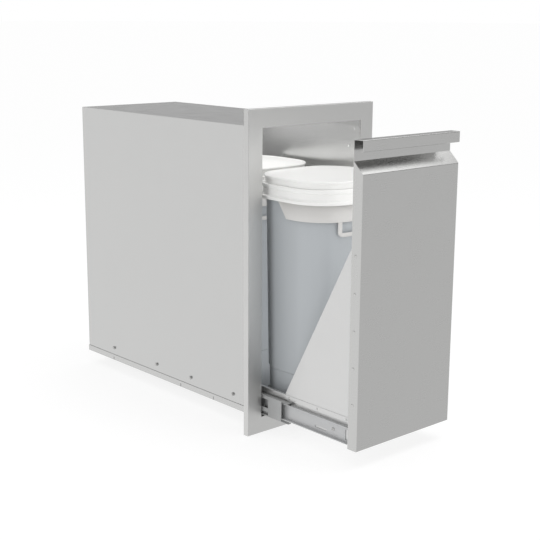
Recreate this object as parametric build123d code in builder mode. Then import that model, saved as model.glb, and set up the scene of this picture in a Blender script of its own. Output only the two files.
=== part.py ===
from build123d import *
import os

os.makedirs("parts", exist_ok=True)

# A built-in pull-out waste drawer: a stainless face frame and closed enclosure that drop into a
# cut-out, and a drawer on full-extension ball slides that carries two lidded bins.
#
# Frame: millimetres, X to the right, Y to the back, Z up.  The origin is on the centre line,
# on the back (bearing) plane of the face frame, level with the underside of the base pan.
# The drawer stands part way out.

# ---------------------------------------------------------------- driving dimensions
SHEET = 1.2                 # enclosure and drawer sheet
FRAME_SHEET = 1.5           # face frame sheet

FRAME_W = 359.0             # face frame, overall
FRAME_BOTTOM = -30.5
FRAME_TOP = 655.5
FRAME_DEPTH = 13.5          # front of the frame to its bearing plane
BEARING_LIP = 12.0
OPEN_HALF = 142.0           # opening, half width
OPEN_BOTTOM = 5.0
OPEN_TOP = 617.5
RETURN_TAIL = 12.0          # the inner return runs on behind the bearing plane
LINER_FRONT = -12.0         # front edge of the enclosure sheets, inside the return

ENC_DEPTH = 654.0           # bearing plane to the back of the enclosure
SEAM_FLANGE = 13.0          # folded joints between the sheets
PAN_UPTURN = 13.5
SEAM_NOTCH_Y = (146.0, 266.0, 540.0)    # relief notches in the base pan's fold
FIX_HOLE_R = 2.25           # holes for the screws that hold the unit in its cut-out
FIX_HOLE_Y = 22.0
FIX_HOLE_Z = (60.0, 558.0)
FRAME_RIVET_Y = 4.0         # rivets through the frame's return and the side panels
BUMPER_X = 70.0             # rubber bumpers on the back panel
BUMPER_Z = 44.0
BUMPER_STEM_R = 3.0

DRAWER_OPEN = 276.0         # how far the drawer stands out
FRONT_HALF = 138.0
FRONT_BOTTOM = 7.5
FRONT_FACE = -FRAME_DEPTH - DRAWER_OPEN
PAN_DEPTH = 24.7            # the front's folded edges
CHAMFER_BOTTOM = 551.3
CHAMFER_TOP = 574.0
NECK_SETBACK = 23.5
HANDLE_TOP = 614.8
HANDLE_DROP = 22.0          # height of the pull's front lip
HANDLE_HEM = 5.0
PANEL_TOP = 612.0           # inner panel, up behind the neck
PANEL_FOLD = 20.0           # its folded edges
PANEL_FOLD_TOP = 545.0
FRONT_SCREW_X = (-90.0, 0.0, 90.0)
FRONT_SCREW_Z = 40.0
RIVET_R = 1.6
SCREW_R = 2.0

SLIDE_Z = 31.0              # centre height of the slides
SLIDE_SPACE = 16.0          # side panel to tray
RAIL_SHEET = 1.5
RAIL_LEN = 559.0
CAB_RAIL_Y = 18.5           # front ends of the three rails
MID_RAIL_Y = -92.0
DRAWER_RAIL_Y = CAB_RAIL_Y - DRAWER_OPEN
CAB_HALF, MID_HALF, DRAWER_HALF = 28.0, 22.9, 17.8
MID_WEB, MID_LIPS = 3.0, 12.0
CAB_LIPS = 11.5
DRAWER_LIPS = 7.0
RAIL_SLOT_RISE = 7.8        # stamped slots in the drawer rails, above the slide's centre
MID_WINDOW_Z = ((-20.0, -13.0), (-4.0, 15.0))   # from the slide's centre
CATCH_SLOT = 7.5            # a slot for the release catch at the drawer rail's front
WEB_CUTBACK = 21.0          # the middle rail's web stops short of its front end
BALL_R = 1.75
BALL_GAP = 0.05
BALLS_PER_ROW = 12
CAGE_SHEET = 0.8
CAGE_LEN = 220.0
SLIDE_SCREW_Y = (80.5, 231.0, 362.5, 540.5)
NUT_H = 3.2

TRAY_BOTTOM = 14.0
TRAY_TOP = 68.0
TRAY_BACK = 356.0
TRAY_LIP = 4.5
TRAY_FRONT_TOP = 60.0

GUSSET_TOP = 424.5
GUSSET_REAR = -72.0
GUSSET_FOOT = 56.0
GUSSET_STRIP = 66.5
GUSSET_STRIP_SHEET = 0.8
GUSSET_FLANGE = 16.0
GUSSET_RIVET_Z = 61.0

BIN_PITCH = 249.0
FRONT_BIN_Y = -53.0
BIN_CORE_X, BIN_CORE_Y = 79.0, 60.0     # straight stretches of a bin's four sides
BIN_BASE, BIN_STEP, BIN_MOUTH = 64.0, 67.0, 75.0    # corner radius at three heights
BIN_RIM = 79.0
BIN_WALL = 2.0
STEP_Z = 105.0              # a nesting step low on the body
BIN_TOP = 498.5
COLLAR_WALL = 82.0
COLLAR_LIP = 88.0
COLLAR_TOP = 501.5
COLLAR_BOTTOM = 470.5
SKIRT_BOTTOM = 435.5        # a skirt hangs round the front half of the collar
SKIRT_SHEET = 2.2
SKIRT_END_TOP, SKIRT_END_FOOT = 17.0, -10.0     # where it ends, from the bin's axis
LOOP_HALF = 68.0            # a pull loop below the skirt
LOOP_BAR = 8.5
LOOP_BOTTOM = 405.5
LID_RIM = 80.0
LID_TOP = 517.0

# ---------------------------------------------------------------- derived sizes
FRAME_H = FRAME_TOP - FRAME_BOTTOM
FRAME_MID = (FRAME_TOP + FRAME_BOTTOM) / 2
OPEN_H = OPEN_TOP - OPEN_BOTTOM
OPEN_MID = (OPEN_TOP + OPEN_BOTTOM) / 2
ENC_INNER = OPEN_HALF - SHEET
FRONT_BACK = FRONT_FACE + PAN_DEPTH         # where the inner panel closes the front
NECK_FRONT = FRONT_FACE + NECK_SETBACK
PANEL_BACK = FRONT_BACK + SHEET
PANEL_HALF = FRONT_HALF - SHEET - 0.1
TRAY_HALF = ENC_INNER - SLIDE_SPACE
TRAY_FLOOR = TRAY_BOTTOM + SHEET
GUSSET_OUT = TRAY_HALF + SHEET
STRIP_OUT = GUSSET_OUT + GUSSET_STRIP_SHEET
FLANGE_RIVET_X = TRAY_HALF - 8
FRONT_RIVET_Y = FRONT_BACK - 10.5
BIN_Y = {"front": FRONT_BIN_Y, "rear": FRONT_BIN_Y + BIN_PITCH}
SIDES = {"left": -1, "right": 1}


# ---------------------------------------------------------------- helpers
def slab(x, y, z, mode=Mode.ADD):
    """A rectangular slab; x, y and z are pairs of limits, in either order."""
    with Locations((sum(x) / 2, sum(y) / 2, sum(z) / 2)):
        Box(abs(x[1] - x[0]), abs(y[1] - y[0]), abs(z[1] - z[0]), mode=mode)


def cross_pin(x, y, z, radius, mode=Mode.ADD):
    """A round pin or hole along X between the two limits in x."""
    with Locations(Location((sum(x) / 2, y, z), (0, 90, 0))):
        Cylinder(radius, abs(x[1] - x[0]), mode=mode)


def cross_dome(x, y, z, radius):
    """A domed head on the X axis, from its flat side at x[0] to its crown at x[1]."""
    turn = 90 if x[1] > x[0] else -90
    with Locations(Location((sum(x) / 2, y, z), (0, turn, 0))):
        Cone(radius, 0.62 * radius, abs(x[1] - x[0]))


def long_pin(x, y, z, radius, mode=Mode.ADD):
    """A round pin or hole along Y between the two limits in y."""
    with Locations(Location((x, sum(y) / 2, z), (90, 0, 0))):
        Cylinder(radius, abs(y[1] - y[0]), mode=mode)


def spaced(first, last, count):
    """Evenly spaced places from first to last."""
    return [first + (last - first) * i / (count - 1) for i in range(count)]


def save(builder, name):
    builder.part.label = name
    export_step(builder.part, f"parts/{name}.step")


FRAME_RIVET_Z = spaced(40, 598, 4)
FRONT_RIVET_Z = spaced(100, 396, 5)
TRAY_SCREW_Y = spaced(DRAWER_RAIL_Y + 44.5, DRAWER_RAIL_Y + RAIL_LEN - 44.5, 4)
RAIL_SLOT_Y = [y + 34.5 for y in TRAY_SCREW_Y[:-1]]
GUSSET_RIVET_Y = spaced(GUSSET_REAR - 12, PANEL_BACK + 14, 3)
FLANGE_RIVET_Z = spaced(110, 390, 4)

# ---------------------------------------------------------------- face frame
with BuildPart() as face_frame:
    with BuildSketch(Plane.XZ.offset(FRAME_DEPTH)):
        with Locations((0, FRAME_MID)):
            Rectangle(FRAME_W, FRAME_H)
    extrude(amount=-FRAME_DEPTH)
    fillet(face_frame.faces().sort_by(Axis.Y)[0].edges(), radius=1.4)
    # the hollow between the front plate and the bearing lip
    with BuildSketch(Plane.XZ.offset(FRAME_DEPTH - FRAME_SHEET)):
        with Locations((0, FRAME_MID)):
            Rectangle(FRAME_W - 2 * FRAME_SHEET, FRAME_H - 2 * FRAME_SHEET)
    extrude(amount=-(FRAME_DEPTH - 2 * FRAME_SHEET), mode=Mode.SUBTRACT)
    with BuildSketch(Plane.XZ):
        with Locations((0, FRAME_MID)):
            Rectangle(FRAME_W - 2 * BEARING_LIP, FRAME_H - 2 * BEARING_LIP)
    extrude(amount=FRAME_SHEET, mode=Mode.SUBTRACT)
    with BuildSketch(Plane.XZ.offset(FRAME_DEPTH)):
        with Locations((0, OPEN_MID)):
            Rectangle(2 * OPEN_HALF, OPEN_H)
    extrude(amount=-FRAME_SHEET, mode=Mode.SUBTRACT)
    # the inner return, a rectangular collar round the opening
    with BuildSketch(Plane.XZ.offset(FRAME_DEPTH - FRAME_SHEET / 2)):
        with Locations((0, OPEN_MID)):
            Rectangle(2 * (OPEN_HALF + SHEET), OPEN_H + 2 * SHEET)
            Rectangle(2 * OPEN_HALF, OPEN_H, mode=Mode.SUBTRACT)
    extrude(amount=-(FRAME_DEPTH - FRAME_SHEET / 2 + RETURN_TAIL))
    for side in SIDES.values():
        return_sheet = (side * OPEN_HALF, side * (OPEN_HALF + SHEET))
        for z in FRAME_RIVET_Z:
            cross_pin(return_sheet, FRAME_RIVET_Y, z, RIVET_R, Mode.SUBTRACT)
save(face_frame, "face_frame")

# ---------------------------------------------------------------- enclosure sheets
for name, side in SIDES.items():
    outer, inner = side * OPEN_HALF, side * ENC_INNER
    with BuildPart() as side_panel:
        slab((outer, inner), (LINER_FRONT, ENC_DEPTH), (SHEET, OPEN_TOP - SHEET))
        # the corner that clears the frame's lower return
        slab((outer, inner), (LINER_FRONT, RETURN_TAIL), (SHEET, OPEN_BOTTOM), Mode.SUBTRACT)
        slab(
            (outer, inner - side * SEAM_FLANGE),
            (CAB_RAIL_Y, ENC_DEPTH - SHEET),
            (OPEN_TOP - 2 * SHEET, OPEN_TOP - SHEET),
        )
        for z in FIX_HOLE_Z:
            cross_pin((outer, inner), FIX_HOLE_Y, z, FIX_HOLE_R, Mode.SUBTRACT)
        for y in SLIDE_SCREW_Y:
            cross_pin((outer, inner), y, SLIDE_Z, SCREW_R, Mode.SUBTRACT)
        for z in FRAME_RIVET_Z:
            cross_pin((outer, inner), FRAME_RIVET_Y, z, RIVET_R, Mode.SUBTRACT)
    save(side_panel, f"{name}_side_panel")

with BuildPart() as top_panel:
    slab((-OPEN_HALF, OPEN_HALF), (LINER_FRONT, ENC_DEPTH), (OPEN_TOP - SHEET, OPEN_TOP))
save(top_panel, "top_panel")

with BuildPart() as back_panel:
    slab((-ENC_INNER, ENC_INNER), (ENC_DEPTH - SHEET, ENC_DEPTH), (SHEET, OPEN_TOP - SHEET))
    for side in SIDES.values():
        slab(
            (side * ENC_INNER, side * (ENC_INNER - SHEET)),
            (ENC_DEPTH - SHEET - SEAM_FLANGE, ENC_DEPTH - SHEET),
            (SHEET, OPEN_TOP - 2 * SHEET - SEAM_FLANGE),
        )
        back_sheet = (ENC_DEPTH - SHEET, ENC_DEPTH)
        long_pin(side * BUMPER_X, back_sheet, BUMPER_Z, BUMPER_STEM_R, Mode.SUBTRACT)
save(back_panel, "back_panel")

with BuildPart() as base_pan:
    pan_half, pan_back = OPEN_HALF + SHEET, ENC_DEPTH + SHEET
    slab((-pan_half, pan_half), (0, pan_back), (0, SHEET))
    slab((-ENC_INNER, ENC_INNER), (0, SHEET), (0, OPEN_BOTTOM - SHEET))
    slab((-pan_half, pan_half), (ENC_DEPTH, pan_back), (0, PAN_UPTURN))
    for side in SIDES.values():
        upturn = (side * OPEN_HALF, side * pan_half)
        slab(upturn, (RETURN_TAIL + 0.5, pan_back), (0, PAN_UPTURN))
        for y in SEAM_NOTCH_Y:
            slab(upturn, (y, y + 2.5), (SHEET, 8), Mode.SUBTRACT)
save(base_pan, "base_pan")

with BuildPart() as enclosure_rivets:
    for side in SIDES.values():
        outer, inner = side * (OPEN_HALF + SHEET), side * ENC_INNER
        for z in FRAME_RIVET_Z:
            cross_pin((inner, outer), FRAME_RIVET_Y, z, RIVET_R)
            cross_dome((inner, inner - side * 0.9), FRAME_RIVET_Y, z, 3.2)
            cross_dome((outer, outer + side * 1.0), FRAME_RIVET_Y, z, 2.4)
save(enclosure_rivets, "enclosure_rivets")

with BuildPart() as rear_bumpers:
    for side in SIDES.values():
        x = side * BUMPER_X
        long_pin(x, (TRAY_BACK + DRAWER_OPEN + 0.3, ENC_DEPTH - SHEET), BUMPER_Z, 9.0)
        long_pin(x, (ENC_DEPTH - SHEET, ENC_DEPTH), BUMPER_Z, BUMPER_STEM_R)
        long_pin(x, (ENC_DEPTH, ENC_DEPTH + 1.0), BUMPER_Z, 5.0)
    front_faces = rear_bumpers.faces().filter_by(Axis.Y).group_by(Axis.Y)[0]
    fillet(front_faces.edges(), radius=2.5)
save(rear_bumpers, "rear_bumpers")


# ---------------------------------------------------------------- slides
# Across a slide, depth is measured from the side panel towards the tray.
def across(side, depth):
    return side * (ENC_INNER - depth)


def channel(side, web, lips, half, y0, length, thickness=RAIL_SHEET, corner=1.2):
    """A channel along Y: its web starts at depth web, its two flanges run on to depth lips."""
    step = thickness if lips > web else -thickness
    with BuildSketch(Plane.XZ.offset(-y0)) as section:
        with Locations(((across(side, web) + across(side, lips)) / 2, SLIDE_Z)):
            Rectangle(abs(lips - web), 2 * half)
        web_is_right = across(side, web) > across(side, lips)
        web_corners = section.vertices().group_by(Axis.X)[-1 if web_is_right else 0]
        fillet(web_corners, radius=corner)
        with Locations(((across(side, web + step) + across(side, lips)) / 2, SLIDE_Z)):
            Rectangle(abs(lips - web - step), 2 * (half - thickness), mode=Mode.SUBTRACT)
    extrude(section.sketch, amount=-length)


for name, side in SIDES.items():
    cab_web = (across(side, 0), across(side, RAIL_SHEET))
    mid_web = (across(side, MID_WEB), across(side, MID_WEB + RAIL_SHEET))
    drawer_web = (across(side, SLIDE_SPACE), across(side, SLIDE_SPACE - RAIL_SHEET))

    with BuildPart() as cabinet_rail:
        channel(side, 0, CAB_LIPS, CAB_HALF, CAB_RAIL_Y, RAIL_LEN)
        for y in SLIDE_SCREW_Y:
            cross_pin(cab_web, y, SLIDE_Z, 3.6, Mode.SUBTRACT)
    save(cabinet_rail, f"{name}_cabinet_rail")

    with BuildPart() as intermediate_rail:
        channel(side, MID_WEB, MID_LIPS, MID_HALF, MID_RAIL_Y, RAIL_LEN, corner=1.45)
        web_half = MID_HALF - RAIL_SHEET
        slab(
            mid_web,
            (MID_RAIL_Y, MID_RAIL_Y + WEB_CUTBACK),
            (SLIDE_Z - web_half, SLIDE_Z + web_half),
            Mode.SUBTRACT,
        )
        # two stamped windows for the rail's catch
        for low, high in MID_WINDOW_Z:
            slab(
                mid_web,
                (MID_RAIL_Y + 62, MID_RAIL_Y + 88),
                (SLIDE_Z + low, SLIDE_Z + high),
                Mode.SUBTRACT,
            )
    save(intermediate_rail, f"{name}_intermediate_rail")

    with BuildPart() as rail_bumper:
        slab(
            (across(side, MID_LIPS - 5), across(side, MID_LIPS - 0.5)),
            (MID_RAIL_Y - 1.5, MID_RAIL_Y + 6),
            (SLIDE_Z + web_half, SLIDE_Z + DRAWER_HALF + 0.4),
        )
        fillet(rail_bumper.edges().filter_by(Axis.X), radius=0.8)
    save(rail_bumper, f"{name}_rail_bumper")

    with BuildPart() as drawer_rail:
        channel(side, SLIDE_SPACE, DRAWER_LIPS, DRAWER_HALF, DRAWER_RAIL_Y, RAIL_LEN)
        for y in TRAY_SCREW_Y:
            cross_pin(drawer_web, y, SLIDE_Z, SCREW_R, Mode.SUBTRACT)
        slab(
            drawer_web,
            (DRAWER_RAIL_Y + 3, DRAWER_RAIL_Y + 3 + CATCH_SLOT),
            (SLIDE_Z - 13, SLIDE_Z + 9),
            Mode.SUBTRACT,
        )
        web_plane = Plane(
            (across(side, SLIDE_SPACE), 0, SLIDE_Z), x_dir=(0, 1, 0), z_dir=(-side, 0, 0)
        )
        with BuildSketch(web_plane) as slots:
            with Locations([(y, side * RAIL_SLOT_RISE) for y in RAIL_SLOT_Y]):
                SlotOverall(35, 4.5)
        extrude(slots.sketch, amount=SLIDE_SPACE, both=True, mode=Mode.SUBTRACT)
    save(drawer_rail, f"{name}_drawer_rail")

# ball cages: a thin channel between two rails, with a row of balls in each flange
CAGES = {
    "outer": dict(web=1.85, lips=10.5, half=MID_HALF + 1.8, ball_at=8.0, middle=246.0),
    "inner": dict(web=5.0, lips=13.0, half=DRAWER_HALF + 1.8, ball_at=9.5, middle=108.0),
}

for kind, cage in CAGES.items():
    for name, side in SIDES.items():
        front = cage["middle"] - CAGE_LEN / 2
        places = spaced(front + 10, front + CAGE_LEN - 10, BALLS_PER_ROW)
        rows = [
            (across(side, cage["ball_at"]), y, SLIDE_Z + v)
            for v in (-cage["half"], cage["half"])
            for y in places
        ]
        with BuildPart() as ball_cage:
            channel(
                side, cage["web"], cage["lips"], cage["half"] + CAGE_SHEET / 2,
                front, CAGE_LEN, CAGE_SHEET, 0.5,
            )
            with Locations(rows):
                Cylinder(BALL_R + BALL_GAP, 2 * CAGE_SHEET, mode=Mode.SUBTRACT)
        save(ball_cage, f"{name}_{kind}_ball_cage")

        with BuildPart() as balls:
            with Locations(rows):
                Sphere(BALL_R)
        save(balls, f"{name}_{kind}_balls")

# screws that hold the cabinet rails, with their nuts outside the enclosure
with BuildPart() as cabinet_rail_screws:
    for side in SIDES.values():
        screw_end = side * (OPEN_HALF + NUT_H)
        for y in SLIDE_SCREW_Y:
            cross_pin((across(side, 0), across(side, RAIL_SHEET)), y, SLIDE_Z, 3.6)
            cross_pin((across(side, 0), screw_end), y, SLIDE_Z, SCREW_R)
            cross_dome((screw_end, screw_end + side * 1.0), y, SLIDE_Z, SCREW_R)
save(cabinet_rail_screws, "cabinet_rail_screws")

with BuildPart() as cabinet_rail_nuts:
    for side in SIDES.values():
        for y in SLIDE_SCREW_Y:
            nut_plane = Plane((side * OPEN_HALF, y, SLIDE_Z), x_dir=(0, 1, 0), z_dir=(side, 0, 0))
            with BuildSketch(nut_plane):
                RegularPolygon(4.0, 6)
                Circle(SCREW_R, mode=Mode.SUBTRACT)
            extrude(amount=NUT_H)
save(cabinet_rail_nuts, "cabinet_rail_nuts")

with BuildPart() as drawer_rail_screws:
    for side in SIDES.values():
        head = across(side, SLIDE_SPACE - RAIL_SHEET)
        crown = across(side, SLIDE_SPACE - RAIL_SHEET - 1.9)
        for y in TRAY_SCREW_Y:
            cross_pin((across(side, SLIDE_SPACE + SHEET), head), y, SLIDE_Z, SCREW_R)
            cross_dome((head, crown), y, SLIDE_Z, 3.8)
            # the crossed recess
            depth = (crown - side * 0.8, crown)
            slab(depth, (y - 1.7, y + 1.7), (SLIDE_Z - 0.4, SLIDE_Z + 0.4), Mode.SUBTRACT)
            slab(depth, (y - 0.4, y + 0.4), (SLIDE_Z - 1.7, SLIDE_Z + 1.7), Mode.SUBTRACT)
save(drawer_rail_screws, "drawer_rail_screws")


# ---------------------------------------------------------------- bins' rounded-square sections
def rounded_square(reach):
    """A bin's outline: reach is its corner radius and how far it stands outside the core."""
    return RectangleRounded(BIN_CORE_X + 2 * reach, BIN_CORE_Y + 2 * reach, reach)


def stacked(levels, y, mode=Mode.ADD):
    """A solid through rounded-square sections, from (reach, height) pairs, low to high."""
    sections = []
    for reach, z in levels:
        with BuildSketch(Plane((0, y, z))) as section:
            rounded_square(reach)
        sections.append(section.sketch)
    loft(sections, ruled=True, mode=mode)


# ---------------------------------------------------------------- drawer tray
with BuildPart() as drawer_tray:
    slab((-TRAY_HALF, TRAY_HALF), (PANEL_BACK, TRAY_BACK), (TRAY_BOTTOM, TRAY_FLOOR))
    slab(
        (-TRAY_HALF, TRAY_HALF), (PANEL_BACK, PANEL_BACK + SHEET), (TRAY_BOTTOM, TRAY_FRONT_TOP)
    )
    slab((-TRAY_HALF, TRAY_HALF), (TRAY_BACK - SHEET, TRAY_BACK), (TRAY_BOTTOM, TRAY_TOP))
    for side in SIDES.values():
        tray_side = (side * (TRAY_HALF - SHEET), side * TRAY_HALF)
        slab(tray_side, (PANEL_BACK, TRAY_BACK), (TRAY_BOTTOM, TRAY_TOP))
        slab(
            (side * (TRAY_HALF - SHEET), side * (TRAY_HALF + TRAY_LIP)),
            (GUSSET_REAR + 1, TRAY_BACK),
            (TRAY_TOP - SHEET, TRAY_TOP),
        )
        for y in TRAY_SCREW_Y:
            cross_pin(tray_side, y, SLIDE_Z, SCREW_R, Mode.SUBTRACT)
        for y in GUSSET_RIVET_Y:
            cross_pin(tray_side, y, GUSSET_RIVET_Z, RIVET_R, Mode.SUBTRACT)
    for x in FRONT_SCREW_X:
        tray_front = (PANEL_BACK, PANEL_BACK + SHEET)
        long_pin(x, tray_front, FRONT_SCREW_Z, SCREW_R, Mode.SUBTRACT)
    # raised rings that keep each bin in its place
    for y in BIN_Y.values():
        with BuildSketch(Plane((0, y, TRAY_FLOOR))):
            rounded_square(BIN_STEP + 4)
            Rectangle(BIN_CORE_X, BIN_CORE_Y + 4 * BIN_STEP, mode=Mode.SUBTRACT)
            RectangleRounded(
                BIN_CORE_X + 2 * BIN_STEP, BIN_CORE_Y + 2 * BIN_STEP, BIN_STEP,
                mode=Mode.SUBTRACT,
            )
        extrude(amount=2.5)
save(drawer_tray, "drawer_tray")

# ---------------------------------------------------------------- drawer front
with BuildPart() as drawer_front:
    # a pan with folded edges and a chamfered top
    with BuildSketch(Plane.YZ.offset(-FRONT_HALF)):
        with BuildLine():
            Polyline(
                (FRONT_BACK, FRONT_BOTTOM),
                (FRONT_FACE, FRONT_BOTTOM),
                (FRONT_FACE, CHAMFER_BOTTOM),
                (NECK_FRONT, CHAMFER_TOP),
                (FRONT_BACK, CHAMFER_TOP),
                close=True,
            )
        make_face()
    extrude(amount=2 * FRONT_HALF)
    front_face = drawer_front.faces().sort_by(Axis.Y)[0]
    fillet(front_face.edges(), radius=1.6)
    back_face = drawer_front.faces().sort_by(Axis.Y)[-1]
    offset(amount=-SHEET, openings=back_face)
    # the neck and the pull: one strip bent up, forward and down
    with BuildSketch(Plane.YZ.offset(-FRONT_HALF)):
        with BuildLine():
            FilletPolyline(
                (FRONT_BACK, CHAMFER_TOP - SHEET),
                (FRONT_BACK, HANDLE_TOP),
                (FRONT_FACE, HANDLE_TOP),
                (FRONT_FACE, HANDLE_TOP - HANDLE_DROP),
                (FRONT_FACE + HANDLE_HEM, HANDLE_TOP - HANDLE_DROP),
                radius=1.8,
            )
            offset(amount=SHEET, side=Side.RIGHT)
        make_face()
    extrude(amount=2 * FRONT_HALF)
    for side in SIDES.values():
        fold = (side * (FRONT_HALF - SHEET), side * FRONT_HALF)
        for z in FRONT_RIVET_Z:
            cross_pin(fold, FRONT_RIVET_Y, z, RIVET_R, Mode.SUBTRACT)
save(drawer_front, "drawer_front")

with BuildPart() as front_inner_panel:
    slab((-PANEL_HALF, PANEL_HALF), (FRONT_BACK, PANEL_BACK), (FRONT_BOTTOM + SHEET, PANEL_TOP))
    slab(
        (-PANEL_HALF, PANEL_HALF),
        (FRONT_BACK - PANEL_FOLD, FRONT_BACK),
        (FRONT_BOTTOM + SHEET, FRONT_BOTTOM + 2 * SHEET),
    )
    for side in SIDES.values():
        fold = (side * (PANEL_HALF - SHEET), side * PANEL_HALF)
        slab(
            fold, (FRONT_BACK - PANEL_FOLD, FRONT_BACK), (FRONT_BOTTOM + SHEET, PANEL_FOLD_TOP)
        )
        for z in FRONT_RIVET_Z:
            cross_pin(fold, FRONT_RIVET_Y, z, RIVET_R, Mode.SUBTRACT)
        for z in FLANGE_RIVET_Z:
            panel_sheet = (FRONT_BACK, PANEL_BACK)
            long_pin(side * FLANGE_RIVET_X, panel_sheet, z, RIVET_R, Mode.SUBTRACT)
    for x in FRONT_SCREW_X:
        long_pin(x, (FRONT_BACK, PANEL_BACK), FRONT_SCREW_Z, SCREW_R, Mode.SUBTRACT)
save(front_inner_panel, "front_inner_panel")

with BuildPart() as front_rivets:
    for side in SIDES.values():
        outer, inner = side * FRONT_HALF, side * (PANEL_HALF - SHEET)
        for z in FRONT_RIVET_Z:
            cross_pin((inner, outer), FRONT_RIVET_Y, z, RIVET_R)
            cross_dome((inner, inner - side * 0.9), FRONT_RIVET_Y, z, 2.4)
            cross_dome((outer, outer + side * 1.1), FRONT_RIVET_Y, z, 3.2)
save(front_rivets, "front_rivets")

with BuildPart() as front_fixing_screws:
    head_y = PANEL_BACK + SHEET
    for x in FRONT_SCREW_X:
        long_pin(x, (FRONT_BACK - 3, head_y), FRONT_SCREW_Z, SCREW_R)
        long_pin(x, (head_y, head_y + 2.2), FRONT_SCREW_Z, 4.0)
save(front_fixing_screws, "front_fixing_screws")

# ---------------------------------------------------------------- gussets
for name, side in SIDES.items():
    with BuildPart() as gusset:
        with BuildSketch(Plane.YZ.offset(side * TRAY_HALF)):
            with BuildLine():
                Polyline(
                    (PANEL_BACK, GUSSET_FOOT),
                    (PANEL_BACK, GUSSET_TOP),
                    (GUSSET_REAR, TRAY_TOP + 1.5),
                    (GUSSET_REAR, GUSSET_FOOT),
                    close=True,
                )
            make_face()
        extrude(amount=side * SHEET)
        # the doubled strip along the foot
        slab(
            (side * GUSSET_OUT, side * STRIP_OUT),
            (PANEL_BACK, GUSSET_REAR),
            (GUSSET_FOOT, GUSSET_STRIP),
        )
        # the flange against the inner panel
        slab(
            (side * GUSSET_OUT, side * (GUSSET_OUT - GUSSET_FLANGE)),
            (PANEL_BACK, PANEL_BACK + SHEET),
            (TRAY_TOP + 1, GUSSET_TOP - 12),
        )
        for y in GUSSET_RIVET_Y:
            foot = (side * TRAY_HALF, side * STRIP_OUT)
            cross_pin(foot, y, GUSSET_RIVET_Z, RIVET_R, Mode.SUBTRACT)
        for z in FLANGE_RIVET_Z:
            flange = (PANEL_BACK, PANEL_BACK + SHEET)
            long_pin(side * FLANGE_RIVET_X, flange, z, RIVET_R, Mode.SUBTRACT)
    save(gusset, f"{name}_gusset")

with BuildPart() as gusset_rivets:
    for side in SIDES.values():
        inner, outer = side * (TRAY_HALF - SHEET), side * STRIP_OUT
        for y in GUSSET_RIVET_Y:
            cross_pin((inner, outer), y, GUSSET_RIVET_Z, RIVET_R)
            cross_dome((outer, outer + side * 0.7), y, GUSSET_RIVET_Z, 2.6)
        for z in FLANGE_RIVET_Z:
            long_pin(side * FLANGE_RIVET_X, (FRONT_BACK, PANEL_BACK + SHEET), z, RIVET_R)
            head = (PANEL_BACK + SHEET, PANEL_BACK + SHEET + 0.8)
            long_pin(side * FLANGE_RIVET_X, head, z, 3.0)
save(gusset_rivets, "gusset_rivets")

# ---------------------------------------------------------------- bins
INNER_FLANGE = 72.5         # the collar's inner flange, inside the bin's mouth
FLANGE_FOOT = COLLAR_TOP - 12.0
COLLAR_MOUTH = 70.5
LID_WALL = 77.5
LID_UNDERSIDE = LID_TOP - 4.0
PLUG = 68.5                 # the lid's inner ring, just inside the collar

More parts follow.
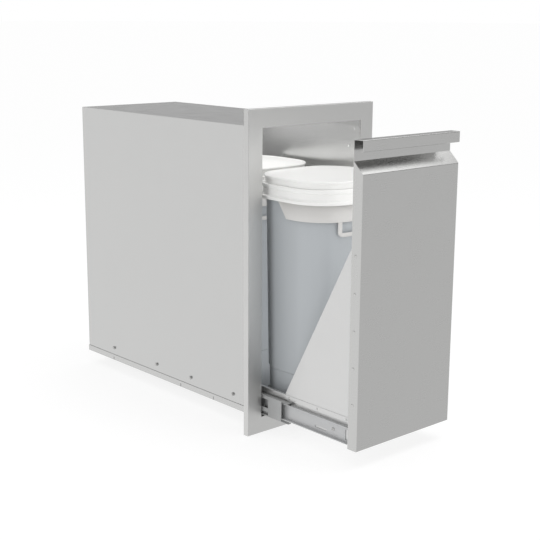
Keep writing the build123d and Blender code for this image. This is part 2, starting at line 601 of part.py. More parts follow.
for name, y in BIN_Y.items():
    with BuildPart() as bin_body:
        stacked(
            [
                (BIN_BASE - 3, TRAY_FLOOR),
                (BIN_BASE, TRAY_FLOOR + 3),
                (BIN_STEP - 1, STEP_Z),
                (BIN_STEP + 1, STEP_Z + 2),
                (BIN_MOUTH, BIN_TOP - 8),
                (BIN_RIM, BIN_TOP - 6),
                (BIN_RIM, BIN_TOP),
            ],
            y,
        )
        stacked(
            [
                (BIN_BASE - BIN_WALL - 1, TRAY_FLOOR + BIN_WALL),
                (BIN_BASE - BIN_WALL, TRAY_FLOOR + BIN_WALL + 2),
                (BIN_STEP - 1 - BIN_WALL, STEP_Z + 1),
                (BIN_STEP + 1 - BIN_WALL, STEP_Z + 3),
                (BIN_MOUTH - BIN_WALL, BIN_TOP - 8),
                (BIN_MOUTH - BIN_WALL, BIN_TOP),
            ],
            y,
            Mode.SUBTRACT,
        )
    save(bin_body, f"{name}_bin")

    # a skirt round the front half of the collar, and a pull loop below it
    with BuildPart() as skirt:
        with BuildSketch(Plane.YZ):
            with BuildLine():
                Polyline(
                    (y + SKIRT_END_TOP, COLLAR_BOTTOM + 3),
                    (y + SKIRT_END_FOOT, SKIRT_BOTTOM),
                    (y - 2 * LID_RIM, SKIRT_BOTTOM),
                    (y - 2 * LID_RIM, COLLAR_BOTTOM + 3),
                    close=True,
                )
            make_face()
        extrude(amount=BIN_CORE_X + COLLAR_LIP, both=True)
        with BuildSketch(Plane.XZ.offset(BIN_CORE_Y - y)):
            with Locations((0, (LOOP_BOTTOM + SKIRT_BOTTOM + 3) / 2)):
                Rectangle(2 * LOOP_HALF, SKIRT_BOTTOM + 3 - LOOP_BOTTOM)
            with Locations((0, (LOOP_BOTTOM + LOOP_BAR + SKIRT_BOTTOM) / 2)):
                Rectangle(
                    2 * (LOOP_HALF - LOOP_BAR), SKIRT_BOTTOM - LOOP_BOTTOM - LOOP_BAR,
                    mode=Mode.SUBTRACT,
                )
        extrude(amount=COLLAR_LIP)
        with BuildSketch(Plane((0, y, LOOP_BOTTOM))):
            rounded_square(COLLAR_WALL)
            RectangleRounded(
                BIN_CORE_X + 2 * (COLLAR_WALL - SKIRT_SHEET),
                BIN_CORE_Y + 2 * (COLLAR_WALL - SKIRT_SHEET),
                COLLAR_WALL - SKIRT_SHEET,
                mode=Mode.SUBTRACT,
            )
        extrude(amount=COLLAR_BOTTOM + 3 - LOOP_BOTTOM, mode=Mode.INTERSECT)

    # the collar hooks over the rim and clamps the bag
    with BuildPart() as collar:
        stacked(
            [
                (COLLAR_LIP - 0.8, COLLAR_BOTTOM),
                (COLLAR_LIP, COLLAR_BOTTOM + 1),
                (COLLAR_LIP, COLLAR_BOTTOM + 5.5),
                (COLLAR_WALL + 0.8, COLLAR_BOTTOM + 8),
                (COLLAR_WALL, COLLAR_TOP - 9),
                (COLLAR_WALL + 2, COLLAR_TOP - 7.5),
                (COLLAR_WALL + 2, COLLAR_TOP - 2),
                (COLLAR_WALL, COLLAR_TOP),
            ],
            y,
        )
        stacked([(BIN_RIM + 0.4, COLLAR_BOTTOM), (BIN_RIM + 0.4, BIN_TOP + 0.2)], y, Mode.SUBTRACT)
        stacked([(INNER_FLANGE, FLANGE_FOOT), (INNER_FLANGE, COLLAR_TOP)], y)
        stacked([(COLLAR_MOUTH, FLANGE_FOOT), (COLLAR_MOUTH, COLLAR_TOP)], y, Mode.SUBTRACT)
        add(skirt.part)
    save(collar, f"{name}_bin_collar")

    with BuildPart() as lid:
        stacked(
            [
                (LID_WALL, COLLAR_TOP),
                (LID_WALL, LID_TOP - 5.5),
                (LID_RIM, LID_TOP - 3),
                (LID_RIM, LID_TOP - 1.2),
                (LID_RIM - 1.4, LID_TOP),
            ],
            y,
        )
        stacked(
            [(LID_WALL - 2.3, COLLAR_TOP), (LID_WALL - 2.3, LID_UNDERSIDE)], y, Mode.SUBTRACT
        )
        stacked([(PLUG, COLLAR_TOP - 8), (PLUG, LID_UNDERSIDE)], y)
        stacked([(PLUG - 2, COLLAR_TOP - 8), (PLUG - 2, LID_UNDERSIDE)], y, Mode.SUBTRACT)
        # the shallow dish inside the raised rim
        stacked([(LID_WALL - 5.5, LID_TOP - 1.3), (LID_WALL - 3, LID_TOP)], y, Mode.SUBTRACT)
    save(lid, f"{name}_lid")
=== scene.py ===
import math

import bmesh
import bpy
from mathutils import Matrix, Vector


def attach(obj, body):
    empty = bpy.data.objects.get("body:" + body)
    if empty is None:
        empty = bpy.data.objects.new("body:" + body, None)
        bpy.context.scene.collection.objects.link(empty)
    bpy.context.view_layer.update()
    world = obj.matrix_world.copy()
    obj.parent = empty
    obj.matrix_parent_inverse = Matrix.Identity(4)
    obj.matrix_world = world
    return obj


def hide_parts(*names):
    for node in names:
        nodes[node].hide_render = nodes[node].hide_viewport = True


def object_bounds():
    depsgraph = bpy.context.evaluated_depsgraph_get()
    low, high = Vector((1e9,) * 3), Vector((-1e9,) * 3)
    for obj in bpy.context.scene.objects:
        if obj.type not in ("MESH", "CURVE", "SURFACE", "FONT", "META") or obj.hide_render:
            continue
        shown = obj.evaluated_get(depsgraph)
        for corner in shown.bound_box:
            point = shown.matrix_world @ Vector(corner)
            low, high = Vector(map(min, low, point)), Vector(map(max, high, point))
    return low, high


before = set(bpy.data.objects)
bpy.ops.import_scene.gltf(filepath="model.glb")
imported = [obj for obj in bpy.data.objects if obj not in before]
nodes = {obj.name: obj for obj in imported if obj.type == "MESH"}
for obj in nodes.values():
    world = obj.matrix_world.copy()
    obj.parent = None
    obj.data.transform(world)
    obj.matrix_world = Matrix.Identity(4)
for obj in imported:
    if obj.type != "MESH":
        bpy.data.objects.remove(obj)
cad_low, cad_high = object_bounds()
scene = bpy.context.scene

# A built-in pull-out waste drawer on a plain pale floor.  CAD nodes carry the sheet metal and the
# slides; bins, collars, lids and fasteners are rebuilt here with rounded edges and real heads.
MM = 0.001


# ---------------------------------------------------------------- camera
CAMERA_PLACE = Vector((-1.6178, -1.6931, 0.8325))
CAMERA_YAW = math.radians(41.7297)      # from +Y towards +X
CAMERA_PITCH = math.radians(-12.7896)
CAMERA_ROLL = math.radians(0.3389)


def make_camera():
    forward = Vector((
        math.sin(CAMERA_YAW) * math.cos(CAMERA_PITCH),
        math.cos(CAMERA_YAW) * math.cos(CAMERA_PITCH),
        math.sin(CAMERA_PITCH),
    ))
    level = Vector((math.cos(CAMERA_YAW), -math.sin(CAMERA_YAW), 0))
    up = level.cross(forward)
    right = math.cos(CAMERA_ROLL) * level + math.sin(CAMERA_ROLL) * up
    turned_up = math.cos(CAMERA_ROLL) * up - math.sin(CAMERA_ROLL) * level
    data = bpy.data.cameras.new("camera")
    data.lens = 74.11
    data.sensor_width = 36
    camera = bpy.data.objects.new("camera", data)
    columns = Matrix((right, turned_up, -forward)).transposed()
    camera.matrix_world = Matrix.Translation(CAMERA_PLACE) @ columns.to_4x4()
    scene.collection.objects.link(camera)
    scene.camera = camera


# ---------------------------------------------------------------- studio
FLOOR_Z = cad_low.z - 0.0005


def area_light(name, place, target, width, height, power):
    data = bpy.data.lights.new(name, "AREA")
    data.shape = "RECTANGLE"
    data.size = width
    data.size_y = height
    data.energy = power
    light = bpy.data.objects.new(name, data)
    light.location = place
    light.rotation_euler = (Vector(target) - Vector(place)).to_track_quat("-Z", "Y").to_euler()
    light.visible_camera = False
    scene.collection.objects.link(light)
    return light


def front_fall(tree, place, span, levels):
    """A value that falls from levels[0] to levels[1] towards the front and right, over span."""
    along = tree.nodes.new("ShaderNodeVectorMath")
    along.operation = "DOT_PRODUCT"
    along.inputs[1].default_value = (0.5, -1, 0)
    fall = tree.nodes.new("ShaderNodeMapRange")
    fall.interpolation_type = "SMOOTHSTEP"
    fall.inputs["From Min"].default_value, fall.inputs["From Max"].default_value = span
    fall.inputs["To Min"].default_value, fall.inputs["To Max"].default_value = levels
    tree.links.new(place, along.inputs[0])
    tree.links.new(along.outputs["Value"], fall.inputs["Value"])
    return fall.outputs["Result"]


def make_world():
    """White at and below the horizon, greyer above it and paler again overhead."""
    world = bpy.data.worlds.new("studio")
    scene.world = world
    world.use_nodes = True
    tree = world.node_tree
    place = tree.nodes.new("ShaderNodeTexCoord")
    split = tree.nodes.new("ShaderNodeSeparateXYZ")
    ramp = tree.nodes.new("ShaderNodeValToRGB")
    tree.links.new(place.outputs["Generated"], split.inputs[0])
    # 0 is straight down, 0.5 the horizon and 1 straight up
    height = tree.nodes.new("ShaderNodeMapRange")
    height.inputs["From Min"].default_value = -1
    tree.links.new(split.outputs["Z"], height.inputs["Value"])
    tree.links.new(height.outputs["Result"], ramp.inputs[0])
    stops = [(0.0, 1.0), (0.515, 1.0), (0.56, 0.36), (0.675, 0.36), (0.8, 0.72), (1.0, 1.05)]
    while len(ramp.color_ramp.elements) < len(stops):
        ramp.color_ramp.elements.new(0.5)
    for element, (position, level) in zip(ramp.color_ramp.elements, stops):
        element.position = position
        element.color = (level, level, level, 1)
    background = tree.nodes["Background"]
    tree.links.new(ramp.outputs[0], background.inputs["Color"])
    strength = front_fall(tree, place.outputs["Generated"], (0.1, 0.7), (1.0, 0.74))
    tree.links.new(strength, background.inputs["Strength"])


def make_floor():
    """An even white floor that the steel does not reflect."""
    mesh = bpy.data.meshes.new("floor")
    reach = 200
    corners = [(-reach, -reach), (reach, -reach), (reach, reach), (-reach, reach)]
    mesh.from_pydata([(x, y, FLOOR_Z) for x, y in corners], [], [(0, 1, 2, 3)])
    floor = bpy.data.objects.new("floor", mesh)
    scene.collection.objects.link(floor)
    paint = bpy.data.materials.new("floor_white")
    paint.use_nodes = True
    shader = paint.node_tree.nodes["Principled BSDF"]
    shader.inputs["Base Color"].default_value = (0.35, 0.35, 0.35, 1)
    shader.inputs["Roughness"].default_value = 0.9
    shader.inputs["Specular IOR Level"].default_value = 0.0
    shader.inputs["Emission Color"].default_value = (1, 1, 1, 1)
    shader.inputs["Emission Strength"].default_value = 0.74
    floor.visible_glossy = False
    mesh.materials.append(paint)


def make_studio():
    make_world()
    make_floor()
    left = area_light("left_softbox", (-3.0, -0.3, 1.3), (0, 0, 0.3), 1.0, 2.2, 15)
    left.visible_glossy = False     # its mirror image would wash out the top seen from the right
    area_light("overhead_softbox", (0.8, -0.5, 2.3), (0, -0.1, 0.4), 2.0, 1.8, 13)
    # Soft fills inside the object, without which its inside is nearly black: under the top, before
    # the back, on the left wall above the lids, and on the drawer before and between the bins.
    area_light("ceiling_fill", (0, 0.30, 0.605), (0, 0.30, 0), 0.25, 0.56, 0.58)
    area_light("rear_fill", (0, 0.62, 0.33), (0, 0, 0.33), 0.25, 0.5, 0.20)
    area_light("side_fill", (-0.139, 0.33, 0.555), (0, 0.33, 0.555), 0.55, 0.09, 0.065)
    drawer_fill = area_light("drawer_fill", (0, -0.255, 0.33), (0, 0, 0.33), 0.22, 0.5, 0.27)
    between_fill = area_light("between_fill", (0, 0.066, 0.26), (0, 0.3, 0.26), 0.2, 0.44, 0.15)
    for light in (drawer_fill, between_fill):
        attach(light, "drawer")


# ---------------------------------------------------------------- materials
def wire(tree, kind, links=(), **values):
    """A shader node with its plain values set and its inputs linked: (input, output) pairs."""
    node = tree.nodes.new(kind)
    for key, value in values.items():
        if key in node.inputs:
            node.inputs[key].default_value = value
        else:
            setattr(node, key, value)
    for socket, source in links:
        tree.links.new(source, node.inputs[socket])
    return node


def spread(tree, source, low, high):
    """source, which lies round 0.5, laid out from low to high."""
    node = tree.nodes.new("ShaderNodeMapRange")
    node.inputs["From Min"].default_value = 0.25
    node.inputs["From Max"].default_value = 0.75
    node.inputs["To Min"].default_value = low
    node.inputs["To Max"].default_value = high
    tree.links.new(source, node.inputs["Value"])
    return node.outputs["Result"]


def tint(tree, source, dark, light):
    """A colour between dark and light, chosen by source."""
    node = tree.nodes.new("ShaderNodeMix")
    node.data_type = "RGBA"
    node.inputs["A"].default_value = (*dark, 1)
    node.inputs["B"].default_value = (*light, 1)
    tree.links.new(source, node.inputs["Factor"])
    return node.outputs["Result"]


def noise(tree, place, scale, detail=2.0, stretch=(1, 1, 1)):
    mapping = wire(tree, "ShaderNodeMapping", [("Vector", place)], Scale=stretch)
    node = wire(
        tree, "ShaderNodeTexNoise", [("Vector", mapping.outputs[0])], Scale=scale, Detail=detail
    )
    return node.outputs["Fac"]


def shades(colour, swing):
    return [tuple(c * (1 + s * swing) for c in colour) for s in (-1, 1)]


def surface(name, metallic):
    material = bpy.data.materials.new(name)
    material.use_nodes = True
    tree = material.node_tree
    shader = tree.nodes["Principled BSDF"]
    shader.inputs["Metallic"].default_value = metallic
    place = tree.nodes.new("ShaderNodeTexCoord").outputs["Object"]
    return material, tree, shader, place


def relief(tree, shader, height, distance, strength):
    bump = wire(
        tree, "ShaderNodeBump", [("Height", height)], Distance=distance, Strength=strength
    )
    tree.links.new(bump.outputs[0], shader.inputs["Normal"])


def brushed(name, colour, roughness, stretch, swing=0.03, metallic=1.0):
    """Sheet steel with a fine grain along one direction and faint handling marks."""
    material, tree, shader, place = surface(name, metallic)
    grain = noise(tree, place, 900, 3, stretch)
    cloud = noise(tree, place, 6, 3)
    smear = noise(tree, place, 28, 4)
    both = wire(tree, "ShaderNodeMix", [("A", grain), ("B", cloud)], Factor=0.5)
    shade = tint(tree, both.outputs["Result"], *shades(colour, swing))
    tree.links.new(shade, shader.inputs["Base Color"])
    rough = wire(tree, "ShaderNodeMix", [("A", grain), ("B", smear)], Factor=0.45)
    tree.links.new(
        spread(tree, rough.outputs["Result"], roughness - 0.05, roughness + 0.05),
        shader.inputs["Roughness"],
    )
    relief(tree, shader, grain, 0.00002, 0.04)
    return material


def plated(name, colour, roughness, spangle=70, metallic=0.9):
    """Zinc or nickel plating: fine mottling and a light grain."""
    material, tree, shader, place = surface(name, metallic)
    cells = wire(tree, "ShaderNodeTexVoronoi", [("Vector", place)], Scale=spangle)
    fine = noise(tree, place, 600, 3)
    split = wire(tree, "ShaderNodeSeparateColor", [("Color", cells.outputs["Color"])])
    both = wire(tree, "ShaderNodeMix", [("A", fine), ("B", split.outputs[0])], Factor=0.25)
    dark, light = shades(colour, 0.06)
    tree.links.new(tint(tree, both.outputs["Result"], dark, light), shader.inputs["Base Color"])
    rough = spread(tree, fine, roughness - 0.05, roughness + 0.06)
    tree.links.new(rough, shader.inputs["Roughness"])
    relief(tree, shader, fine, 0.00003, 0.2)
    return material


def moulded(name, colour, roughness, peel=0.06, swing=0.01, scuffs=0.02):
    """Injection-moulded plastic: even colour, faint flow marks and a slight orange peel."""
    material, tree, shader, place = surface(name, 0.0)
    flow = noise(tree, place, 9, 2, (1, 1, 0.35))
    peel_height = noise(tree, place, 420, 2)
    scuff = noise(tree, place, 45, 5)
    dark, light = shades(colour, swing)
    tree.links.new(tint(tree, flow, dark, light), shader.inputs["Base Color"])
    rough = spread(tree, scuff, roughness - scuffs, roughness + scuffs)
    tree.links.new(rough, shader.inputs["Roughness"])
    shader.inputs["IOR"].default_value = 1.5
    relief(tree, shader, peel_height, 0.00004, peel)
    return material


ALONG_X, ALONG_Y, ALONG_Z = (0.02, 1, 1), (1, 0.02, 1), (1, 1, 0.02)

enclosure_steel = brushed(
    "enclosure_steel", (0.585, 0.585, 0.58), 0.22, ALONG_Y, 0.02
)
frame_steel = brushed(
    "frame_steel", (0.69, 0.69, 0.682), 0.45, ALONG_Z, 0.02
)
# The top panel takes a darker copy of the enclosure steel: painted shade for the dimmer light that
# falls on the top.
top_steel_painted_shade = brushed(
    "top_steel_painted_shade", (0.55, 0.55, 0.545), 0.22, ALONG_Y, 0.02
)
front_steel = brushed(
    "front_steel", (0.575, 0.575, 0.568), 0.25, ALONG_X, 0.015
)
tray_steel = brushed("tray_steel", (0.68, 0.68, 0.675), 0.34, ALONG_Z, metallic=0.75)
slide_steel = plated("slide_zinc", (0.55, 0.555, 0.56), 0.42, 70, 0.3)
# The intermediate rails take a darker copy of the slide zinc: painted shade for the shadow of the
# face frame's stile on them.
middle_steel_painted_shade = plated("middle_zinc_painted_shade", (0.42, 0.425, 0.425), 0.42, 70, 0.3)
cage_steel = plated("cage_steel", (0.42, 0.42, 0.41), 0.34, 120)
ball_steel = plated("ball_steel", (0.66, 0.66, 0.66), 0.10, 500)
fastener_steel = plated("fastener_zinc", (0.62, 0.62, 0.61), 0.24, 200)
rubber = moulded("black_rubber", (0.025, 0.025, 0.026), 0.6, 0.5, 0.1)
# Black plastic for the slides' stops, a real part; its black also stands in as painted shade for
# the shade inside the rails' channels.
stop_plastic_and_painted_shade = moulded("stop_plastic_and_painted_shade", (0.05, 0.05, 0.052), 0.45, 0.4, 0.06)
white_plastic = moulded("white_plastic", (0.90, 0.90, 0.885), 0.30, 0.03, 0.006, 0.01)
# A darker copy of the white plastic for the collar's skirt and pull loop: painted shade for the
# shadow under the collar's rim.
skirt_plastic_painted_shade = moulded("skirt_plastic_painted_shade", (0.66, 0.65, 0.635), 0.34)
bin_plastic = moulded("bin_plastic", (0.46, 0.485, 0.505), 0.30)

PAINT = {
    "left_intermediate_rail": middle_steel_painted_shade, "right_intermediate_rail": middle_steel_painted_shade,
    "face_frame": frame_steel,
    "top_panel": top_steel_painted_shade, "back_panel": enclosure_steel, "base_pan": enclosure_steel,
    "left_side_panel": enclosure_steel, "right_side_panel": enclosure_steel,
    "drawer_front": front_steel, "front_inner_panel": tray_steel, "drawer_tray": tray_steel,
    "left_gusset": tray_steel, "right_gusset": tray_steel, "rear_bumpers": rubber,
}
ENDINGS = {
    "_ball_cage": cage_steel, "_balls": ball_steel, "_rail": slide_steel,
    "_rail_bumper": stop_plastic_and_painted_shade,
}

for name, node in nodes.items():
    paint = PAINT.get(name)
    for ending, material in ENDINGS.items():
        if paint is None and name.endswith(ending):
            paint = material
    if paint:
        node.data.materials.clear()
        node.data.materials.append(paint)


# ---------------------------------------------------------------- mesh helpers
def finish_mesh(name, bm, material, body, replaced):
    bmesh.ops.recalc_face_normals(bm, faces=bm.faces)
    mesh = bpy.data.meshes.new(name)
    bm.to_mesh(mesh)
    bm.free()
    mesh.materials.append(material)
    piece = bpy.data.objects.new(name, mesh)
    scene.collection.objects.link(piece)
    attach(piece, body)
    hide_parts(*replaced)
    return piece


def join_rings(bm, rings, closed=False):
    """Quads between neighbouring rings of equal length; closed joins the last to the first."""
    pairs = list(zip(rings, rings[1:]))
    if closed:
        pairs.append((rings[-1], rings[0]))
    for low, high in pairs:
        for i in range(len(low)):
            j = (i + 1) % len(low)
            face = bm.faces.new((low[i], low[j], high[j], high[i]))
            face.smooth = True


CORE_X, CORE_Y = 79.0, 60.0     # straight stretches of a bin's sides, millimetres
CORNER_STEPS = 20
SIDE_STEPS = 5


def outline(reach, z, y):
    """Points in metres round a rounded square: reach is its corner radius."""
    points = []
    corners = ((1, 1), (-1, 1), (-1, -1), (1, -1))
    for turn, (sx, sy) in enumerate(corners):
        for step in range(CORNER_STEPS + 1):
            angle = math.radians(90 * turn + 90 * step / CORNER_STEPS)
            points.append((
                sx * CORE_X / 2 + reach * math.cos(angle),
                sy * CORE_Y / 2 + reach * math.sin(angle),
            ))
        ex, ey = corners[(turn + 1) % 4]
        end = math.radians(90 * (turn + 1))
        for step in range(1, SIDE_STEPS):
            t = step / SIDE_STEPS
            points.append((
                (sx + (ex - sx) * t) * CORE_X / 2 + reach * math.cos(end),
                (sy + (ey - sy) * t) * CORE_Y / 2 + reach * math.sin(end),
            ))
    return [(px * MM, (y + py) * MM, z * MM) for px, py in points]


def softened(profile, closed):
    """(reach, height, radius) corners turned into a line with small arcs and support points."""
    count = len(profile)
    points = []
    for i, (r, z, radius) in enumerate(profile):
        here = Vector((r, z))
        if radius <= 0 or (not closed and i in (0, count - 1)):
            points.append(here)
            continue
        before = Vector(profile[i - 1][:2]) - here
        after = Vector(profile[(i + 1) % count][:2]) - here
        angle = before.angle(after)
        cut = min(radius / math.tan(angle / 2), 0.45 * before.length, 0.45 * after.length)
        start, end = here + before.normalized() * cut, here + after.normalized() * cut
        margin = min(0.25, 0.04 * min(before.length, after.length))
        points.append(start + before.normalized() * margin)
        for step in range(5):
            t = step / 4
            points.append(start.lerp(here, t).lerp(here.lerp(end, t), t))
        points.append(end + after.normalized() * margin)
    return points


def shell(bm, profile, y, closed=True, capped=False):
    """A wall round a bin's upright axis, from a profile of (reach, height, edge radius)."""
    rings = [
        [bm.verts.new(point) for point in outline(p.x, p.y, y)] for p in softened(profile, closed)
    ]
    join_rings(bm, rings, closed)
    if capped:
        bm.faces.new(rings[0])
        bm.faces.new(list(reversed(rings[-1])))
    return rings


# ---------------------------------------------------------------- fasteners
def turned(bm, place, axis, rings, sides=24, radius_at=None):
    """A solid of revolution: rings are (radius, height) along axis from place, in millimetres.

    radius_at(radius, angle, ring) may bend a ring out of round, for hexagons and recesses."""
    axis = Vector(axis).normalized()
    across = Vector((0, 0, 1)) if abs(axis.z) < 0.9 else Vector((1, 0, 0))
    side = axis.cross(across).normalized()
    loops = []
    for index, (radius, height) in enumerate(rings):
        loop = []
        for step in range(sides):
            angle = 2 * math.pi * step / sides
            reach = radius_at(radius, angle, index) if radius_at else radius
            spot = Vector(place) + axis * height + (
                across * math.cos(angle) + side * math.sin(angle)
            ) * reach
            loop.append(bm.verts.new(spot * MM))
        loops.append(loop)
    join_rings(bm, loops)
    for loop in (loops[0], loops[-1]):
        bm.faces.new(loop if loop is loops[0] else list(reversed(loop)))


def dome(radius, height):
    """The profile of a blind rivet's head, with the mark of its broken stem."""
    edge = [
        (radius * math.cos(math.radians(a)), height * math.sin(math.radians(a)))
        for a in (0, 15, 30, 45, 60, 68)
    ]
    return [(radius * 0.98, 0.0)] + edge + [
        (radius * 0.30, height * 0.97), (radius * 0.27, height * 0.80),
        (radius * 0.18, height * 0.78),
    ]


def rivets(name, body, heads):
    """Blind rivets: heads are (place, direction, radius, height)."""
    bm = bmesh.new()
    for place, axis, radius, height in heads:
        turned(bm, place, axis, dome(radius, height))
    finish_mesh(name, bm, fastener_steel, body, [name])


def spaced(first, last, count):
    return [first + (last - first) * i / (count - 1) for i in range(count)]


SIDES = (-1, 1)
SLIDE_Z = 31.0
ENC_INNER, OPEN_HALF, SHEET = 140.8, 142.0, 1.2
FRONT_HALF, PANEL_IN = 138.0, 135.5
FRONT_RIVET_Y, PANEL_BACK = -275.3, -263.6
TRAY_HALF = 124.8
STRIP_OUT = TRAY_HALF + SHEET + 0.8
BIG_HEAD, SMALL_HEAD, GUSSET_HEAD, PANEL_HEAD = 3.2, 2.4, 2.6, 3.0    # radii of rivet heads
FRAME_RIVET_Y, STRIP_RIVET_Z = 4, 61

frame_heads, front_heads, gusset_heads = [], [], []
for side in SIDES:
    for z in spaced(40, 598, 4):
        inside = (side * ENC_INNER, FRAME_RIVET_Y, z)
        outside = (side * (OPEN_HALF + SHEET), FRAME_RIVET_Y, z)
        frame_heads.append((inside, (-side, 0, 0), BIG_HEAD, 0.88))
        frame_heads.append((outside, (side, 0, 0), SMALL_HEAD, 0.98))
    for z in spaced(100, 396, 5):
        outside, inside = (side * FRONT_HALF, FRONT_RIVET_Y, z), (side * PANEL_IN, FRONT_RIVET_Y, z)
        front_heads.append((outside, (side, 0, 0), BIG_HEAD, 1.08))
        front_heads.append((inside, (-side, 0, 0), SMALL_HEAD, 0.88))
    for y in spaced(-84, PANEL_BACK + 14, 3):
        gusset_heads.append(((side * STRIP_OUT, y, STRIP_RIVET_Z), (side, 0, 0), GUSSET_HEAD, 0.68))
    for z in spaced(110, 390, 4):
        on_panel = (side * (TRAY_HALF - 8), PANEL_BACK + SHEET, z)
        gusset_heads.append((on_panel, (0, 1, 0), PANEL_HEAD, 0.78))
rivets("enclosure_rivets", "enclosure", frame_heads)
rivets("front_rivets", "drawer", front_heads)
rivets("gusset_rivets", "drawer", gusset_heads)


def hexagon(round_rings):
    """Bends rings into a hexagon, except those numbered in round_rings."""
    def radius_at(radius, angle, index):
        if index in round_rings:
            return radius
        turn = (angle + math.pi / 6) % (math.pi / 3) - math.pi / 6
        return radius * math.cos(math.pi / 6) / math.cos(turn)
    return radius_at


FIRST_RECESS_RING = 5


def crossed(arm, half):
    """Bends the rings of a screw's recess into a cross."""
    def radius_at(radius, angle, index):
        if index < FIRST_RECESS_RING:
            return radius
        turn = abs((angle + math.pi / 4) % (math.pi / 2) - math.pi / 4)
        if math.tan(turn) < half / arm:
            return arm / math.cos(turn) * radius
        return half / math.sin(turn) * radius
    return radius_at


SLIDE_SCREW_Y = (80.5, 231.0, 362.5, 540.5)
TRAY_SCREW_Y = spaced(-213.0, 257.0, 4)


def pan_heads():
    bm = bmesh.new()
    rings = [(3.8, 0), (3.8, 0.7), (3.55, 1.3), (3.0, 1.7), (2.4, 1.86), (1, 1.88), (0.8, 1.0)]
    for side in SIDES:
        for y in TRAY_SCREW_Y:
            place = (side * (ENC_INNER - 14.5), y, SLIDE_Z)
            turned(bm, place, (side, 0, 0), rings, 48, crossed(1.8, 0.45))
    finish_mesh("drawer_rail_screws", bm, fastener_steel, "drawer",
                ["drawer_rail_screws"])


def nuts_and_threads():
    nuts, screws = bmesh.new(), bmesh.new()
    nut = [(2.3, 0), (3.4, 0), (3.95, 0.35), (3.95, 2.85), (3.4, 3.18), (2.3, 3.18), (2.05, 2.9)]
    thread = [(1.9, 0.5)]
    for turn in range(8):
        thread += [(1.98, 0.7 + 0.4 * turn), (1.7, 0.9 + 0.4 * turn)]
    thread += [(1.6, 4.1)]
    head = [(3.55, 0), (3.55, 0.4), (3.3, 0.9), (2.6, 1.25), (1.9, 1.35), (1, 1.38), (0.8, 0.7)]
    for side in SIDES:
        for y in SLIDE_SCREW_Y:
            place = (side * OPEN_HALF, y, SLIDE_Z)
            turned(nuts, place, (side, 0, 0), nut, 36, hexagon((0, 1, 4, 5, 6)))
            turned(screws, place, (side, 0, 0), thread, 20)
            inner = (side * (ENC_INNER - 0.05), y, SLIDE_Z)
            turned(screws, inner, (-side, 0, 0), head, 48, crossed(1.6, 0.4))
    finish_mesh("cabinet_rail_nuts", nuts, fastener_steel, "enclosure",
                ["cabinet_rail_nuts"])
    finish_mesh("cabinet_rail_screws", screws, fastener_steel, "enclosure",
                ["cabinet_rail_screws"])


def front_screws():
    bm = bmesh.new()
    rings = [(3.98, 0), (3.98, 0.8), (3.7, 1.5), (3.1, 1.95), (2.4, 2.14), (1, 2.16), (0.8, 1.1)]
    for x in (-90.0, 0.0, 90.0):
        turned(bm, (x, PANEL_BACK + SHEET, 40), (0, 1, 0), rings, 48, crossed(1.9, 0.45))
    finish_mesh("front_fixing_screws", bm, fastener_steel, "drawer",
                ["front_fixing_screws"])


pan_heads()
nuts_and_threads()
front_screws()


# ---------------------------------------------------------------- bins, collars and lids
BIN_FLOOR, BIN_TOP = 15.2, 498.5
COLLAR_BOTTOM, COLLAR_TOP = 470.5, 501.5
LID_TOP = 517.0
LID_FOOT = COLLAR_TOP + 0.15    # the lid rests on the collar
BIN_Y = {"front": -53.0, "rear": 196.0}


def bin_body(name, y):
    bm = bmesh.new()
    outer = [
        (58, BIN_FLOOR, 0), (61, BIN_FLOOR, 1.5), (64, BIN_FLOOR + 3, 2), (66, 105, 1.5),
        (68, 107, 1.5), (75, BIN_TOP - 8, 1.5), (79, BIN_TOP - 6, 1.2), (79, BIN_TOP, 0.8),
    ]
    inner = [
        (73, BIN_TOP, 0.8), (73, BIN_TOP - 8, 1), (66, 108, 1.5), (64, 106, 1.5), (62, 19.2, 2),
        (60, 17.2, 2), (57, 17.2, 0),
    ]
    shell(bm, outer + inner, y, closed=False, capped=True)
    finish_mesh(name, bm, bin_plastic, name, [name])


def front_xs(reach):
    """The outline's x positions on the front of a rounded square, from left to right."""
    return sorted(px / MM for px, py, _ in outline(reach, 0, 0) if py < -CORE_Y / 2 * MM)


SKIRT_OUT, SKIRT_IN = 82.0, 79.8
SKIRT_BOTTOM = 435.5
SKIRT_TURN_TOP, SKIRT_TURN_FOOT = 17.0, -10.0
SKIRT_EDGE = 0.5
REAR_STEPS = 5      # columns on each slanting rear edge
LOOP_HALF, LOOP_BAR, LOOP_BOTTOM = 68.0, 8.5, 405.5


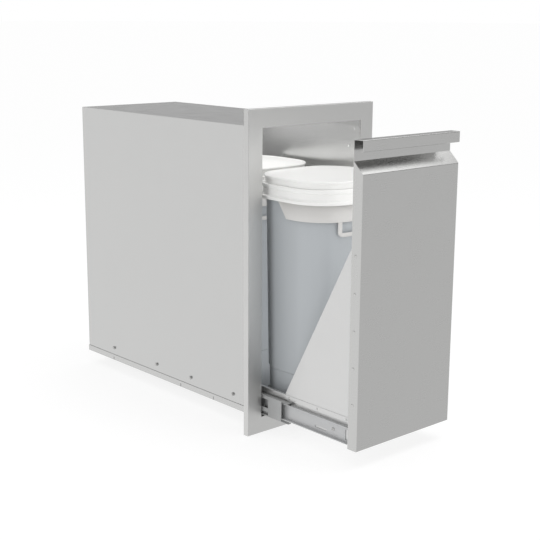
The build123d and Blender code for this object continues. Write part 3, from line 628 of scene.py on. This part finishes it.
def skirt_wall(bm, y):
    """The skirt round the front half of the collar, its rear edges slanting up to the collar."""
    columns = []
    top = COLLAR_BOTTOM + 1
    slope = (SKIRT_TURN_TOP - SKIRT_TURN_FOOT) / (COLLAR_BOTTOM + 3 - SKIRT_BOTTOM)
    outer, inner = outline(SKIRT_OUT, 0, y), outline(SKIRT_IN, 0, y)
    pairs = list(zip(outer, inner))
    # walk round the front from the left side to the right
    front = [pair for pair in pairs if pair[0][1] < (y + SKIRT_TURN_FOOT) * MM]
    order = sorted(front, key=lambda p: math.atan2(p[0][0], -(p[0][1] - y * MM)))
    for side in SIDES:
        for step in range(REAR_STEPS + 1):
            rear = y + SKIRT_TURN_FOOT + (SKIRT_TURN_TOP - SKIRT_TURN_FOOT) * step / REAR_STEPS
            foot = SKIRT_BOTTOM + (rear - y - SKIRT_TURN_FOOT) / slope
            x_out, x_in = CORE_X / 2 + SKIRT_OUT, CORE_X / 2 + SKIRT_IN
            column = (
                (side * x_out * MM, rear * MM), (side * x_in * MM, rear * MM), min(foot, top - 0.05)
            )
            if side < 0:
                columns.insert(0, column)
            else:
                columns.append(column)
        if side < 0:
            columns += [(o[:2], i[:2], SKIRT_BOTTOM) for o, i in order]
    rings = []
    for (ox, oy), (ix, iy), foot in columns:
        cx, cy = (ox + ix) / 2, (oy + iy) / 2
        shoulder, turn = foot + 2 * SKIRT_EDGE, foot + 0.4 * SKIRT_EDGE
        wall = [
            (ox, oy, top), (ox, oy, shoulder),
            (ox + (cx - ox) * 0.15, oy + (cy - oy) * 0.15, turn), (cx, cy, foot),
            (ix + (cx - ix) * 0.15, iy + (cy - iy) * 0.15, turn),
            (ix, iy, shoulder), (ix, iy, top),
        ]
        rings.append([bm.verts.new((px, py, pz * MM)) for px, py, pz in wall])
    join_rings(bm, rings)
    bm.faces.new(rings[0])
    bm.faces.new(list(reversed(rings[-1])))


def pull_loop(bm, y):
    """A U-shaped strap that hangs from the skirt's front, bent to the same curve."""
    # the strap's centre line: down the left leg, along the bar, up the right leg
    bar_z = LOOP_BOTTOM + LOOP_BAR / 2
    bend = 6.0
    top = SKIRT_BOTTOM + 1.5
    path = []
    leg_x = LOOP_HALF - LOOP_BAR / 2
    for step in range(5):
        path.append((-leg_x, top + (bar_z + bend - top) * step / 4, (1, 0)))
    for step in range(1, 6):
        angle = math.radians(90 * step / 6)
        path.append((
            -leg_x + bend * (1 - math.cos(angle)), bar_z + bend * (1 - math.sin(angle)),
            (math.cos(angle), math.sin(angle)),
        ))
    inside = [x for x in front_xs(SKIRT_OUT) if abs(x) < leg_x - bend]
    for x in [-(leg_x - bend)] + inside + [leg_x - bend]:
        path.append((x, bar_z, (0, 1)))
    for px, pz, (nx, nz) in [q for q in reversed(path) if q[0] < -(leg_x - bend) - 1e-6]:
        path.append((-px, pz, (-nx, nz)))
    core_front = y - CORE_Y / 2

    def wall_y(x, reach):
        beyond = max(abs(x) - CORE_X / 2, 0)
        return core_front - math.sqrt(max(reach ** 2 - beyond ** 2, 0))

    rings = []
    half = LOOP_BAR / 2
    for px, pz, (nx, nz) in path:
        corners = []
        for across, reach in (
            (-half, SKIRT_OUT - 0.5), (-half + 0.6, SKIRT_OUT), (half - 0.6, SKIRT_OUT),
            (half, SKIRT_OUT - 0.5), (half, SKIRT_IN + 0.5), (half - 0.6, SKIRT_IN),
            (-half + 0.6, SKIRT_IN), (-half, SKIRT_IN + 0.5),
        ):
            x, z = px + nx * across, pz + nz * across
            corners.append(bm.verts.new((x * MM, wall_y(x, reach) * MM, z * MM)))
        rings.append(corners)
    join_rings(bm, rings)
    bm.faces.new(rings[0])
    bm.faces.new(list(reversed(rings[-1])))


def collar(name, y, body):
    bm = bmesh.new()
    profile = [
        (79.4, COLLAR_BOTTOM, 0.3), (87.6, COLLAR_BOTTOM, 1.2), (88, COLLAR_BOTTOM + 5.6, 1.6),
        (82.8, COLLAR_BOTTOM + 8, 1.6), (82, COLLAR_TOP - 9, 1.5), (84, COLLAR_TOP - 7.5, 1.0),
        (84, COLLAR_TOP - 1.6, 1.3), (82, COLLAR_TOP, 1.0), (70.5, COLLAR_TOP, 1.0),
        (70.5, COLLAR_TOP - 12, 0.6), (72.5, COLLAR_TOP - 12, 0.6), (72.5, BIN_TOP + 0.2, 0.8),
        (79.4, BIN_TOP + 0.2, 0.8),
    ]
    skirt_wall(bm, y)
    pull_loop(bm, y)
    # the skirt and pull loop take the second slot, the darker copy of the white plastic that paints
    # the shade under the rim
    for face in bm.faces:
        face.material_index = 1
    shell(bm, profile, y)
    piece = finish_mesh(name, bm, white_plastic, body, [name])
    piece.data.materials.append(skirt_plastic_painted_shade)


def lid(name, y):
    bm = bmesh.new()
    profile = [
        (60, LID_TOP - 1.3, 0), (72.2, LID_TOP - 1.3, 1.5), (74.4, LID_TOP, 1.0),
        (78.6, LID_TOP, 0.9), (80, LID_TOP - 1.4, 0.9), (80, LID_TOP - 3, 0.8),
        (77.5, LID_TOP - 5.5, 1.2), (77.5, LID_FOOT, 0.3), (75.2, LID_FOOT, 0.3),
        (75.2, LID_TOP - 4, 1.0), (68.5, LID_TOP - 4, 0.6), (68.5, COLLAR_TOP - 8, 0.5),
        (66.5, COLLAR_TOP - 8, 0.5), (66.5, LID_TOP - 4, 0.8), (58, LID_TOP - 4, 0),
    ]
    shell(bm, profile, y, closed=False, capped=True)
    finish_mesh(name, bm, white_plastic, name, [name])


for place, y in BIN_Y.items():
    bin_body(f"{place}_bin", y)
    collar(f"{place}_bin_collar", y, f"{place}_bin")
    lid(f"{place}_lid", y)

scene.view_settings.view_transform = "Standard"
make_camera()
make_studio()
